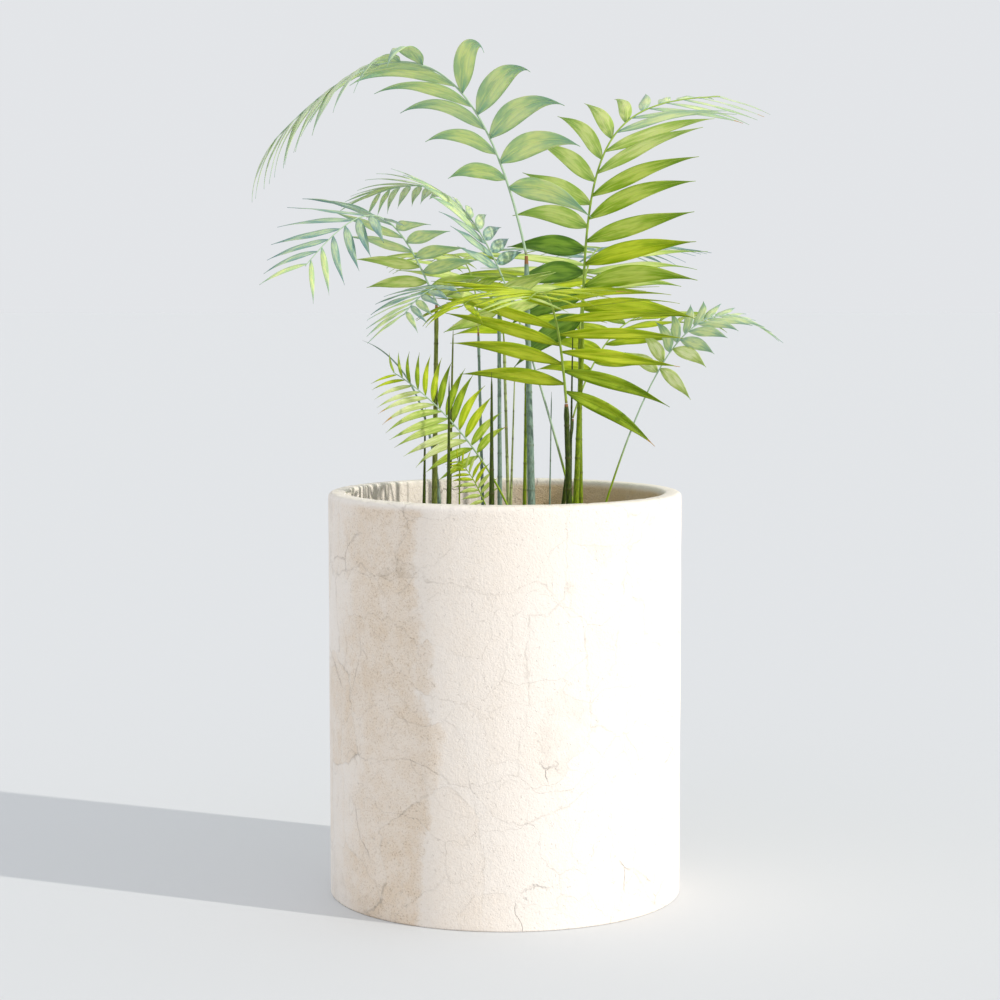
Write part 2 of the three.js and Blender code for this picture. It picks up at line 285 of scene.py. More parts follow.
def turned(outline, steps):
    """A closed turned shape from (radius, height) corners in millimetres."""
    bm = spun([(radius * MM, height * MM) for radius, height in outline], steps, MERGE_REACH)
    bmesh.ops.recalc_face_normals(bm, faces=bm.faces)
    return bm


def stepped(start, end, steps):
    """Evenly spaced corners after start, up to end."""
    start, end = np.array(start), np.array(end)
    return [tuple(start + (end - start) * i / steps) for i in range(1, steps + 1)]


def quarter(centre, size, start, end, steps):
    """Corners of a quarter round about a centre."""
    turns = [math.radians(start + (end - start) * i / steps) for i in range(1, steps + 1)]
    return [(centre[0] + size * math.cos(turn), centre[1] + size * math.sin(turn)) for turn in turns]


print("shape helpers ready")

# %% [markdown]
# The planter's finish. The real one is fibre cement under thin skins of trowelled plaster: pinkish white,
# with square-ish patches that overlap, hairline cracks and a sandy grain. A sandy tan band on the front's
# left is partly wear of the top skin and partly painted shade, on the side that the lamp does not reach,
# and the inside's right half is painted a warm tan shade where the rim's shadow falls, partly stained
# plaster as well. Voronoi cells measured by their longest side make patches with upright and level edges.
# Each cell's own colour holds random numbers: one is the patch's height, so the bump shows its edge as a
# low step, and one its tone.

# %% Plaster
# TAN gives random tone, and a band on the front's left that is partly wear and partly painted shade.
WHITE, TAN, SAND, CRACK = (251, 244, 237), (247, 228, 206), (190, 165, 136), (152, 142, 130)
# The inside's warm tan is partly stained plaster and partly painted shade where the rim's shadow falls.
STAIN_AND_SHADE = (230, 202, 156)
# Scale, detail and roughness of each noise, and the two levels between which its marks set in.
PLASTER_MARKS = {
    "cracked": ((11.0, 3.0), 0.56, 0.65), "unpitted": ((240.0, 2.0), 0.27, 0.35),
    "mottle": ((42.0, 6.0, 0.75), 0.36, 0.66), "cloud": ((9.0, 5.0, 0.65), 0.45, 0.7),
}
SAND_NOISE, GRAIN_NOISE, TROWEL_NOISE = (560.0, 3.0, 0.65), (190.0, 4.0, 0.6), (24.0, 6.0, 0.65)
FRAY_NOISE, DRIFT_NOISE, STREAK_NOISE = (30.0, 6.0, 0.7), (6.0, 2.0), (13.0, 6.0, 0.66)
COARSE_PUSH, FINE_PUSH = (9.0, 2.0, 0.05), (70.0, 4.0, 0.012)
SKIN_CELLS, PATCH_CELLS = (6.5, 0.014), (13.0, 0.022)
CRACK_SCALE, CRACK_WIDTH, CRACK_STRETCH = 12.0, 0.011, (1.0, 1.0, 0.55)
BAND_LEFT, BAND_RIGHT, BAND_SOFT, BAND_EDGE = -0.175, -0.08, 0.04, 0.014
BAND_FRAY, PATCH_FRAY, SKIN_FRAY, BAND_DRIFT = 0.04, 0.02, 0.014, 0.018
FAINT_END, FAINT_SHARE, SIDE_FADE, RUN_STRETCH = (-0.03, 0.05), 0.24, 0.02, 0.16
INNER_WALL, WALL_FADE, BELOW_RIM = 0.161, 0.004, (0.391, 0.398)
STAIN_AND_SHADE_FROM, RUNS_FROM = (-0.03, 0.05), (-0.02, 0.05)
PLASTER_RELIEF = (0.0022, 0.8)


def skins(finish, place, scale, edge):
    """The random height and tone of each plaster patch, and where its edge is."""
    cells = {"Vector": place, "Scale": scale}
    nearest = finish.node("ShaderNodeTexVoronoi", {"distance": "CHEBYCHEV"}, cells)
    second = finish.number("ShaderNodeTexVoronoi", {"distance": "CHEBYCHEV", "feature": "F2"}, cells)
    seam = 1 - finish.band(second - Number(finish, nearest.outputs["Distance"]), 0.0, edge)
    height, tone, _ = finish.parts(nearest.outputs["Color"])
    return height, tone, seam


def hairlines(finish, place):
    """Cracks, which are the borders of large cells, a little drawn out upwards."""
    stretched = finish.node("ShaderNodeVectorMath", {"operation": "MULTIPLY"}, {0: place, 1: CRACK_STRETCH})
    cells = {"Vector": stretched.outputs[0], "Scale": CRACK_SCALE}
    distance = finish.number("ShaderNodeTexVoronoi", {"feature": "DISTANCE_TO_EDGE"}, cells)
    return 1 - finish.band(distance, 0.0, CRACK_WIDTH)


def worn_and_shaded_band(finish, x, y, skin_tone, patch_tone):
    """The tan band on the front, partly wear and partly painted shade: soft on its left, with an edge on its
    right and a faint tan beyond.
    """
    band = finish.band(x, BAND_LEFT, BAND_LEFT + BAND_SOFT)
    band = band * (1 - finish.band(x, BAND_RIGHT, BAND_RIGHT + BAND_EDGE))
    band = band * (1 - finish.band(y, -SIDE_FADE, SIDE_FADE))
    faint = finish.band(x, BAND_LEFT, BAND_RIGHT) * (1 - finish.band(x, *FAINT_END)) * FAINT_SHARE
    return band.over(faint) * (0.62 + skin_tone * 0.3 + patch_tone * 0.24)


def plaster_finish():
    finish = Finish("plaster")
    place = finish.object_place()
    x, y, z = finish.parts(place)
    marks = {
        name: finish.band(finish.clouds(place, *noise), low, high)
        for name, (noise, low, high) in PLASTER_MARKS.items()
    }
    mottle, sand = marks["mottle"], finish.clouds(place, *SAND_NOISE)
    pushed = finish.shifted(finish.shifted(place, *COARSE_PUSH), *FINE_PUSH)
    skin, skin_tone, skin_seam = skins(finish, pushed, *SKIN_CELLS)
    patch, patch_tone, patch_seam = skins(finish, pushed, *PATCH_CELLS)
    frayed = x
    for ragged, reach in (
        (finish.clouds(place, *FRAY_NOISE), BAND_FRAY),
        (patch_tone, PATCH_FRAY),
        (skin_tone, SKIN_FRAY),
        (finish.clouds(place, *DRIFT_NOISE), BAND_DRIFT),
    ):
        frayed = frayed + (ragged - 0.5) * reach
    # The band on the front's left: partly wear of the top skin and partly painted shade of the unlit side.
    worn_and_shaded = worn_and_shaded_band(finish, frayed, y, skin_tone, patch_tone)
    runs = finish.clouds(finish.place_of(x, y, z * RUN_STRETCH), *STREAK_NOISE)
    runs = finish.band(runs, 0.55, 0.66) * finish.band(y, *RUNS_FROM) * 0.55
    below_rim = 1 - finish.band(z, *BELOW_RIM)
    radius = (x * x + y * y) ** 0.5
    inside = 1 - finish.band(radius, INNER_WALL, INNER_WALL + WALL_FADE)
    # Painted warm shade on the inside's right half, where the rim's shadow falls, partly stained plaster too.
    stain_and_shade = inside * finish.band(x, *STAIN_AND_SHADE_FROM) * (0.75 + mottle * 0.25) * below_rim
    outside = worn_and_shaded.over(runs) * (0.55 + mottle * 0.45) * (1 - inside)
    # tan gathers the front band of wear and painted shade, the runs, the inside's painted shade and faint
    # clouds.
    tan = outside.over(stain_and_shade * 0.6).over(marks["cloud"] * 0.1) * below_rim
    crack = hairlines(finish, pushed) * marks["cracked"]
    pit = 1 - marks["unpitted"]
    base = finish.coats(
        WHITE,
        (tan, TAN),
        (stain_and_shade, STAIN_AND_SHADE),
        ((patch_tone - 0.5).size() * 0.2 + skin_tone * 0.1, TAN),
        (finish.band(sand, 0.52, 0.66) * (0.04 + tan * 0.5), SAND),
        ((skin_seam + patch_seam * 0.6) * mottle * (0.2 + tan * 0.2), CRACK),
        (crack * 0.24 + pit * (0.06 + tan * 0.3), CRACK),
    )
    trowel = finish.clouds(pushed, *TROWEL_NOISE)
    grain = sand * (0.4 + tan) + finish.clouds(place, *GRAIN_NOISE) * 0.45
    relief = trowel * 0.5 + skin * 1.6 + patch * 1.2 + grain * 0.9 - pit * 0.2 - crack * 0.6
    finish.set(Base_Color=base, Roughness=0.8 + tan * 0.14, Normal=finish.bump(relief, *PLASTER_RELIEF))
    finish.set(Specular_IOR_Level=0.2)
    return finish


plaster = plaster_finish()
print("plaster ready")

# %% [markdown]
# The planter is turned from one outline: a flat foot, a straight wall, a rounded lip, and the inside down
# to its floor. Its wall then gets the slight waves of hand-trowelled plaster, less than a millimetre
# deep, and small dents along the rim, where a real planter is knocked. Smooth noise read at each corner
# gives both, so they run on round the pot without a seam.

# %% Planter
POT_WIDTH, POT_HEIGHT, POT_WALL, POT_FLOOR = 350, 400, 18, 30
OUTER_LIP, INNER_LIP, FOOT_EDGE, FOOT_RING = 5, 3, 2, 12
SOIL_TOP, UNDER_SOIL = 355, 10
ROUND, WALL_STEPS, INSIDE_STEPS = 240, 84, 14
outer = POT_WIDTH / 2
inner = outer - POT_WALL
outer_lip = (outer - OUTER_LIP, POT_HEIGHT - OUTER_LIP)
inner_lip = (inner + INNER_LIP, POT_HEIGHT - INNER_LIP)

pot_outline = [(0, 0), (outer * 0.5, 0), (outer - FOOT_RING, 0), (outer - FOOT_EDGE, 0)]
pot_outline += quarter((outer - FOOT_EDGE, FOOT_EDGE), FOOT_EDGE, -90, 0, 3)
pot_outline += stepped((outer, FOOT_EDGE), (outer, POT_HEIGHT - OUTER_LIP), WALL_STEPS)
pot_outline += quarter(outer_lip, OUTER_LIP, 0, 90, 7)
pot_outline += stepped((outer - OUTER_LIP, POT_HEIGHT), (inner + INNER_LIP, POT_HEIGHT), 2)
pot_outline += quarter(inner_lip, INNER_LIP, 90, 180, 4)
pot_outline += stepped((inner, POT_HEIGHT - INNER_LIP), (inner, SOIL_TOP - UNDER_SOIL), INSIDE_STEPS)
pot_outline += stepped((inner, SOIL_TOP - UNDER_SOIL), (inner, POT_FLOOR), 4)
pot_outline += [(inner * 0.5, POT_FLOOR), (0, POT_FLOOR)]

WAVE, DENT = 0.45 * MM, 0.5 * MM
LONG_WAVES, SHORT_WAVES, DENTS = 13, 48, 85
SHORT_SHARE, WAVE_TOP, DENT_FROM, DENT_GROWTH = 0.45, 0.6, 0.12, 2
SHORT_PLACE, DENT_PLACE = Vector((3, 5, 7)), Vector((9, 1, 4))
DENT_HEIGHT, DENT_REACH = (POT_HEIGHT - 2) * MM, 9 * MM


def surface_waves(place):
    """How far the trowelled wall stands out at a place, and how deep a dent is there, in metres."""
    waves = noise.noise(place * LONG_WAVES) + SHORT_SHARE * noise.noise(place * SHORT_WAVES + SHORT_PLACE)
    near_lip = max(0.0, 1 - abs(place.z - DENT_HEIGHT) / DENT_REACH)
    dent = max(0.0, noise.noise(place * DENTS + DENT_PLACE) - DENT_FROM) * DENT * near_lip * DENT_GROWTH
    return (waves - WAVE_TOP) * WAVE, dent


pot_mesh = turned(pot_outline, ROUND)
for corner in pot_mesh.verts:
    radius = math.hypot(corner.co.x, corner.co.y)
    if radius > (inner - 1) * MM and corner.co.z > FOOT_EDGE * MM:
        outward = Vector((corner.co.x, corner.co.y, 0)).normalized()
        wave, dent = surface_waves(corner.co)
        side = 1 if radius > (outer - POT_WALL / 2) * MM else -1
        corner.co += outward * side * (wave - dent)
        corner.co.z -= dent
keep(pot_mesh, "planter", [plaster], "pot_plaster", "pot")

# %% [markdown]
# The soil is one turned filling with an uneven crumbly top. It stops a hair's breadth short of the wall,
# as its solid does, and noise lifts the corners of its top by a few millimetres.

# %% Soil
EARTH, LIGHT_EARTH, DRY_EARTH = (50, 37, 28), (92, 70, 52), (128, 104, 80)
COARSE_EARTH, FINE_EARTH, EARTH_RELIEF = (95.0, 6.0, 0.7), (520.0, 4.0, 0.6), (0.002, 0.8)


def soil_finish():
    finish = Finish("potting_soil")
    place = finish.object_place()
    coarse = finish.clouds(place, *COARSE_EARTH)
    fine = finish.clouds(place, *FINE_EARTH)
    light, dry = finish.band(coarse, 0.35, 0.68), finish.band(fine, 0.62, 0.74) * 0.6
    base = finish.coats(EARTH, (light, LIGHT_EARTH), (dry, DRY_EARTH))
    finish.set(Base_Color=base, Roughness=0.93, Normal=finish.bump(coarse + fine * 0.5, *EARTH_RELIEF))
    return finish


soil_look = soil_finish()
SOIL_GAP, SOIL_LEVEL = 0.35, SOIL_TOP - 1
SOIL_RINGS, SOIL_ROUND = 46, 150
SOIL_RISE, SOIL_WAVES, SOIL_LUMPS = 1.1, (2.6, 24), (1.5, 90)
soil_edge = inner - SOIL_GAP - 0.6
soil_outline = [(0, POT_FLOOR + SOIL_GAP), (soil_edge, POT_FLOOR + SOIL_GAP)]
soil_outline += stepped((soil_edge, POT_FLOOR + SOIL_GAP), (soil_edge, SOIL_LEVEL), 3)
soil_outline += stepped((soil_edge, SOIL_LEVEL), (0, SOIL_LEVEL), SOIL_RINGS)


def soil_height(x, y):
    """How far the crumbly top rises above the level at a place, in metres."""
    spot = Vector((x, y, 0))
    waves = SOIL_WAVES[0] * noise.noise(spot * SOIL_WAVES[1])
    lumps = SOIL_LUMPS[0] * abs(noise.noise(spot * SOIL_LUMPS[1]))
    return (SOIL_RISE + waves + lumps) * MM


soil_mesh = turned(soil_outline, SOIL_ROUND)
for corner in soil_mesh.verts:
    if corner.co.z > (SOIL_LEVEL - 1) * MM:
        corner.co.z += soil_height(corner.co.x, corner.co.y)
keep(soil_mesh, "soil_filling", [soil_look], "soil", "soil")

# %% [markdown]
# The small crumbs lie loose on the soil and are one joined mesh. Each is a rough ball of 20 faces, and a
# seeded draw gives its place and size and roughens it, so the script makes the same crumbs each time.

# %% Crumbs
CRUMBS, CRUMB_SIZE, CRUMB_ROUGH, CRUMB_EDGE = 900, (0.7, 2.6), 0.25, 6
CRUMB_WIDTH, CRUMB_HEIGHT, CRUMB_LIFT, CRUMB_TURNS = (0.6, 1), (0.5, 0.9), 0.35, 7
draw = np.random.default_rng(SEED)
crumb = bmesh.new()
bmesh.ops.create_icosphere(crumb, subdivisions=1, radius=1)
crumb_corners = np.array([corner.co for corner in crumb.verts])
crumb_faces = np.array([[corner.index for corner in face.verts] for face in crumb.faces])
crumb.free()
crumb_places, crumb_sides = [], []
for i in range(CRUMBS):
    far, turn = (inner - CRUMB_EDGE) * MM * math.sqrt(draw.random()), draw.random() * math.tau
    x, y = far * math.cos(turn), far * math.sin(turn)
    size = draw.uniform(*CRUMB_SIZE) * MM
    size = size * np.array([1, draw.uniform(*CRUMB_WIDTH), draw.uniform(*CRUMB_HEIGHT)])
    cos, sin = math.cos(turn * CRUMB_TURNS), math.sin(turn * CRUMB_TURNS)
    spin = np.array([[cos, -sin, 0], [sin, cos, 0], [0, 0, 1]])
    rough = crumb_corners * (1 + CRUMB_ROUGH * draw.standard_normal((len(crumb_corners), 1)))
    level = SOIL_LEVEL * MM + soil_height(x, y) + size[2] * CRUMB_LIFT
    crumb_places.append((rough * size) @ spin.T + np.array([x, y, level]))
    crumb_sides.append(crumb_faces + i * len(crumb_corners))
crumb_mesh = bpy.data.meshes.new("soil_crumbs")
crumb_mesh.from_pydata(np.concatenate(crumb_places).tolist(), [], np.concatenate(crumb_sides).tolist())
dress(crumb_mesh, "soil_crumbs", [soil_look], "soil")

# %% [markdown]
# The plant follows the source's own rule, written again. A curve is measured by its length. A frond's rib
# leaves its cane or the soil, is drawn towards its crest and ends at its tip, and every leaflet is worked
# out from there.

# %% Curves
CURVE_STEPS = 200
NUDGE = 1e-4


def unit(vector):
    return vector / np.linalg.norm(vector)


def between(pair, share):
    return pair[0] + (pair[1] - pair[0]) * share


class Curve:
    """A Bezier curve of three or four points, in millimetres, measured by its length."""

    def __init__(self, *points):
        self.points = np.array(points, float)
        self.turns = np.linspace(0, 1, CURVE_STEPS + 1)
        spots = np.array([self.spot(turn) for turn in self.turns])
        steps = np.linalg.norm(np.diff(spots, axis=0), axis=1)
        self.lengths = np.concatenate([[0], np.cumsum(steps)])
        self.length = self.lengths[-1]

    def spot(self, turn):
        points = self.points
        while len(points) > 1:
            points = points[:-1] + (points[1:] - points[:-1]) * turn
        return points[0]

    def turn(self, share):
        return float(np.interp(share * self.length, self.lengths, self.turns))

    def at(self, share):
        return self.spot(self.turn(share))

    def heading(self, share):
        turn = self.turn(share)
        low, high = max(turn - NUDGE, 0), min(turn + NUDGE, 1)
        return unit(self.spot(high) - self.spot(low))


print("curves ready")

# %% [markdown]
# The canes and the spears: where each leaves the soil, where it ends, and its thickness at both ends, in
# millimetres. The last word names its green. Each is straight, apart from one that bows through a place
# of its own.

# %% Canes and spears table
CANES = [
    ("cane_top_left", [27, 10], [21, 10, 632], [8, 4.4], "blue"),
    ("cane_right_tall", [70, 25], [77, 25, 554], [6, 4.6], "bright"),
    ("cane_right_back", [78, 75], [76, 72, 556], [4.4, 3.2], "bright"),
    ("cane_front_low", [64, -20], [60, -20, 487], [6.8, 4.6], "dark"),
    ("cane_left_wide", [-71, 20], [-68, 20, 584], [6, 3.6], "olive"),
    ("cane_left_low", [-5, 0], [-6, 0, 586], [4.8, 3.2], "blue"),
    ("cane_middle", [4, 22], [-1, -5, 547], [3.4, 2.6], "pale"),
    ("cane_rear_left", [-22, 70], [-27, 70, 556], [3.4, 2.6], "blue"),
    ("cane_rear", [20, 90], [22, 90, 513], [4, 3], "bright"),
    ("cane_rear_right", [58, 105], [70, 100, 466], [4.4, 3], "dark"),
    ("spear_far_left", [-82, 40], [-80, 40, 483], [4, 1], "dark"),
    ("spear_left", [-57, 50], [-52, 50, 564], [4.6, 1.2], "olive"),
    ("spear_arching", [-66, 72], [-145, 80, 547], [4, 0.9], "blue"),
    ("spear_front_left", [-55, -62], [-54, -60, 516], [5, 1.2], "dark"),
    ("spear_thin_left", [-46, 24], [-45, 24, 469], [1.8, 1], "bright"),
    ("spear_front", [-13, -66], [-13, -64, 520], [6.4, 1.4], "dark"),
    ("spear_middle", [5, 40], [10, 42, 521], [3, 1], "pale"),
    ("spear_thin_right", [45, 52], [47, 52, 496], [1.8, 1], "blue"),
    ("spear_right", [64, 2], [67, 3, 565], [3.6, 1], "dark"),
]
BOWS = {"spear_arching": [-70, 74, 520]}
CLEAR = 0.35


def cane_curve(name, foot, top):
    start = np.array([*foot, SOIL_TOP + CLEAR], float)
    middle = BOWS.get(name, (start + np.array(top, float)) / 2)
    return Curve(start, middle, top)


cane_tops = {name: (np.array(top, float), thick[1]) for name, _, top, thick, _ in CANES}
print(len(CANES), "canes and spears")

# %% [markdown]
# The fronds, with the same words as in the source. pull, bare, roll, angle, opening, skew, uneven, sag,
# lift, curl, ends and slim shape the leaflets. Five words are for this model alone. shades names the leaf
# colours from the base of the frond to its tip, and left_light_and_shade those of the rib's left side where
# they differ. Both deal painted light and shade as well as the leaves' own greens: a side that stands in
# shadow gets darker greens and a lit side paler ones. slender is the fine leaflets' share of the coarse
# ones' width, left and right of the rib, because a real blade is seldom laid flat. dry is the share of
# leaflets with a dry tip, and stem is the rib's colour.

# %% Fronds table
FROND = {
    "pull": 0.7, "bare": 0.15, "roll": [0, 0], "angle": [90, 40], "opening": 0.7, "skew": 0, "uneven": 0,
    "sag": [8, 20], "lift": 8, "curl": -6, "ends": [0.75, 0.6], "slim": 0.5, "rib": [3.2, 1.3], "split": 1,
    "shades": ["lime", "grass"], "dry": 0.03, "stem": "green", "left_light_and_shade": [], "slender": [1, 1],
}
FRONDS = {
    "frond_top_left": {
        "cane": "cane_top_left", "crest": [-45, 8, 940], "tip": [-212, -155, 735], "pull": 0.66, "bare": 0.16,
        "roll": [8, 22], "angle": [91, 7], "opening": 0.45, "skew": 10, "uneven": 0.04, "sag": [21, 50],
        "lift": 12, "curl": 0, "ends": [0.85, 0.62], "slim": 0.4, "pairs": 14, "leaf": 114, "wide": 27,
        "rib": [3.8, 1.4], "split": 0.47, "slender": [1, 0.76], "stem": "pale",
        "shades": ["sage", "mist", "sage", "mist", "frost", "frost", "frost"],
    },
    "frond_right_tall": {
        "cane": "cane_right_tall", "crest": [78, -28, 780], "tip": [217, 78, 793], "pull": 0.86, "bare": 0.05,
        "roll": [38, 21], "angle": [103, 25], "skew": 18, "uneven": -0.04, "sag": [10, 9], "lift": -11,
        "curl": 0, "ends": [0.97, 0.5], "slim": 0.42, "pairs": 15, "leaf": 118, "wide": 24,
        "rib": [4.2, 1.5], "split": 0.55, "shades": ["lime", "grass", "fresh", "mist", "frost"],
        "left_light_and_shade": ["deep", "deep", "fresh", "fresh", "mist", "frost"], "slender": [1, 0.87],
    },
    "frond_right_back": {
        "cane": "cane_right_back", "crest": [83, 120, 660], "tip": [121, 360, 641], "angle": [92, 40],
        "pairs": 11, "leaf": 130, "wide": 21, "rib": [3, 1.3], "split": 0.35, "shades": ["fresh", "steel"],
    },
    "frond_front_low": {
        "cane": "cane_front_low", "crest": [49, -40, 620], "tip": [20, -260, 590], "bare": 0.04,
        "angle": [104, 35], "skew": 17, "sag": [4, 15], "ends": [0.85, 0.5], "pairs": 14, "leaf": 124,
        "wide": 21, "rib": [4, 1.4], "split": 0.45, "slender": [0.82, 0.82],
        "shades": ["lime", "lime", "fresh"], "left_light_and_shade": ["moss", "lime", "lime", "fresh"], "dry": 0.06,
    },
    "frond_right_low": {
        "foot": [91, 10], "crest": [162, -49, 611], "tip": [252, -5, 563], "pull": 0.75, "bare": 0.57,
        "roll": [61, 4], "angle": [92, 28], "skew": -7, "uneven": -0.06, "sag": [7, 13], "lift": 0,
        "ends": [0.86, 0.5], "pairs": 12, "leaf": 55, "wide": 15, "rib": [3.4, 1.2],
        "shades": ["pale", "mist", "mist"], "stem": "pale",
    },
    "frond_left_arch": {
        "foot": [76, 44], "crest": [-22, -9, 730], "tip": [-128, 76, 696], "pull": 0.83, "bare": 0.61,
        "roll": [-26, 14], "angle": [69, 30], "skew": -20, "sag": [8, 22], "lift": 0, "curl": 0,
        "ends": [0.77, 0.65], "pairs": 14, "leaf": 78, "wide": 17, "rib": [4, 1.3], "split": 0.55,
        "slender": [0.86, 0.86], "shades": ["steel", "mist", "frost", "mist"], "stem": "pale",
    },
    "frond_left_wide": {
        "cane": "cane_left_wide", "crest": [-119, -30, 712], "tip": [-189, -97, 621], "pull": 0.81,
        "bare": 0.08, "roll": [36, -45], "angle": [88, 39], "skew": 8, "uneven": -0.05, "sag": [4, 17],
        "lift": 2, "curl": 0, "pairs": 12, "leaf": 80, "wide": 20, "slim": 0.42, "rib": [3, 1.3],
        "slender": [0.86, 0.86], "shades": ["fresh", "sage", "steel", "steel", "sage"], "stem": "pale",
    },
    "frond_left_low": {
        "cane": "cane_left_low", "crest": [-66, -20, 622], "tip": [-96, -95, 575], "bare": 0.2,
        "roll": [10, 0], "ends": [0.75, 0.75], "slim": 0.45, "pairs": 10, "leaf": 62, "wide": 15,
        "rib": [2.8, 1.2], "shades": ["grass", "steel", "sage"], "stem": "pale",
    },
    "frond_fan": {
        "foot": [15, -14], "crest": [-23, -20, 466], "tip": [-109, -40, 519], "pull": 0.6, "bare": 0.43,
        "roll": [-90, -90], "angle": [80, 42], "uneven": 0.1, "sag": [4, 4], "lift": 0, "curl": -18,
        "ends": [0.75, 0.4], "pairs": 13, "leaf": 58, "wide": 13, "rib": [3.6, 1.3],
        "slender": [0.76, 0.76], "shades": ["grass", "lime", "moss", "lime", "moss", "grass"],
        "left_light_and_shade": ["grass", "pale", "fresh", "pale", "pale", "lime"], "stem": "pale",
    },
    "frond_young": {
        "foot": [-8, -40], "crest": [-24, -40, 416], "tip": [-46, -50, 434], "pull": 0.6, "bare": 0.45,
        "roll": [-90, -90], "angle": [78, 42], "sag": [4, 4], "curl": -18, "pairs": 9, "leaf": 25, "wide": 6,
        "rib": [2, 1], "shades": ["fresh", "lime"], "slender": [0.8, 0.8],
    },
    "frond_middle": {
        "cane": "cane_middle", "crest": [-5, -20, 613], "tip": [-41, -120, 583], "bare": 0.2, "roll": [40, 0],
        "angle": [95, 45], "sag": [8, 30], "pairs": 7, "leaf": 72, "wide": 22, "rib": [2.4, 1.2],
        "shades": ["fresh", "lime"], "dry": 0.06,
    },
    "frond_rear_left": {
        "cane": "cane_rear_left", "crest": [-30, 120, 658], "tip": [-83, 330, 629], "pairs": 10, "leaf": 92,
        "wide": 21, "rib": [2.6, 1.2], "shades": ["fresh", "grass"],
    },
    "frond_rear": {
        "cane": "cane_rear", "crest": [26, 150, 650], "tip": [64, 400, 607], "pairs": 11, "leaf": 105,
        "wide": 21, "rib": [2.8, 1.3], "split": 0.42,
    },
    "frond_rear_right": {
        "cane": "cane_rear_right", "crest": [110, 140, 598], "tip": [205, 300, 567], "bare": 0.2, "pairs": 9,
        "leaf": 85, "wide": 18, "rib": [2.8, 1.2],
    },
}
fronds = {name: {**FROND, **frond} for name, frond in FRONDS.items()}
print(len(fronds), "fronds")

# %% [markdown]
# A rib's frame is its heading and the leafy plane across it. A leaflet leaves the rib at its opening
# angle, curls towards the tip and sags. Its middle line has more steps here than in the source, so it
# bends smoothly.

# %% The leaflet rule
LONGEST, STAGGER, LAST_LEAF, NARROWING = 0.35, 0.35, 0.985, 0.8
ROLLING, SHORTENING = 0.6, 1.5
CURL_REST, SAG_GROWTH = 0.3, 1.6
LEAF_LINE = 20


def rib_curve(frond):
    crest, tip = np.array(frond["crest"], float), np.array(frond["tip"], float)
    top, thick = cane_tops[frond["cane"]] if "cane" in frond else (None, frond["rib"][0])
    start = top.copy() if top is not None else np.array([*frond["foot"], SOIL_TOP + CLEAR], float)
    lean = unit(crest - start)
    start[2] += math.hypot(lean[0], lean[1]) * thick / 2 + (CLEAR if top is not None else 0)
    return Curve(start, start + (crest - start) * frond["pull"], tip + (crest - tip) * frond["pull"], tip)


def rib_frame(frond, curve, share):
    level = curve.points[-1] - curve.points[0]
    heading = curve.heading(share)
    flat = unit(np.array([-level[1], level[0], 0]))
    side = unit(flat - heading * flat.dot(heading))
    up = np.cross(heading, side)
    leafy = min(max((share - frond["bare"]) / (1 - frond["bare"]), 0), 1)
    roll = math.radians(between(frond["roll"], leafy**ROLLING))
    left = side * math.cos(roll) + up * math.sin(roll)
    face = up * math.cos(roll) - side * math.sin(roll)
    return curve.at(share), heading, left, face


def fullness(frond, leafy):
    base, end = frond["ends"]
    rising = base + (1 - base) * math.sin(math.pi / 2 * min(leafy / LONGEST, 1))
    return rising * (1 - (1 - end) * max((leafy - LONGEST) / (1 - LONGEST), 0) ** SHORTENING)


def leaflet(frond, curve, pair, side):
    """One leaflet: its middle line's places and headings, its face, length, width and share of the rib."""
    leafy = (pair + (0 if side > 0 else STAGGER)) / (frond["pairs"] - 1 + STAGGER)
    share = frond["bare"] + (1 - frond["bare"]) * leafy * LAST_LEAF
    place, heading, left, face = rib_frame(frond, curve, share)
    opening = between(frond["angle"], leafy ** frond["opening"]) + side * frond["skew"] * (1 - leafy)
    length = frond["leaf"] * fullness(frond, leafy) * (1 + side * frond["uneven"])
    width = frond["wide"] * fullness(frond, leafy) ** NARROWING * between([1, frond["slim"]], leafy)
    lift, sag = math.radians(frond["lift"]), between(frond["sag"], leafy)
    places, headings = [place], []
    for i in range(LEAF_LINE):
        along = (i + 0.5) / LEAF_LINE
        angle = math.radians(opening) - math.radians(frond["curl"]) * (along - CURL_REST)
        ahead = heading * math.cos(angle) + left * math.sin(angle) * side * math.cos(lift)
        ahead = ahead + face * math.sin(angle) * math.sin(lift)
        ahead[2] -= math.tan(math.radians(sag * along * SAG_GROWTH))
        headings.append(unit(ahead))
        places.append(places[i] + headings[i] * length / LEAF_LINE)
    headings.append(headings[-1])
    return {
        "places": np.array(places), "headings": np.array(headings), "face": face,
        "length": length, "width": width, "share": share, "leafy": leafy, "side": side,
    }


print("leaflet rule ready,", LEAF_LINE, "steps along a leaflet")

# %% [markdown]
# The source leaves out a leaflet that would touch another piece. A leaflet is kept here only where its
# CAD node has a corner at the leaflet's tip, so that both models always agree.

# %% Which leaflets stand
TIP_REACH = 3 * MM


def corner_finder(node):
    places = [corner.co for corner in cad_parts[node].data.vertices]
    finder = kdtree.KDTree(len(places))
    for i, place in enumerate(places):
        finder.insert(place, i)
    finder.balance()
    return finder


leaves, ribs = [], []
for name, frond in fronds.items():
    curve = rib_curve(frond)
    parted = frond["split"] < 1
    finders = [corner_finder(name + ending) for ending in (("_lower", "_outer") if parted else ("",))]
    ribs.append((frond, curve))
    kept = 0
    for pair in range(frond["pairs"]):
        for side in (1, -1):
            leaf = leaflet(frond, curve, pair, side)
            finder = finders[-1 if leaf["share"] > frond["split"] else 0]
            _, _, distance = finder.find(Vector(leaf["places"][-1]) * MM)
            if distance < TIP_REACH:
                leaves.append((name, frond, leaf))
                kept += 1
    print(name, kept, "of", frond["pairs"] * 2, "leaflets,", round(curve.length), "mm rib")

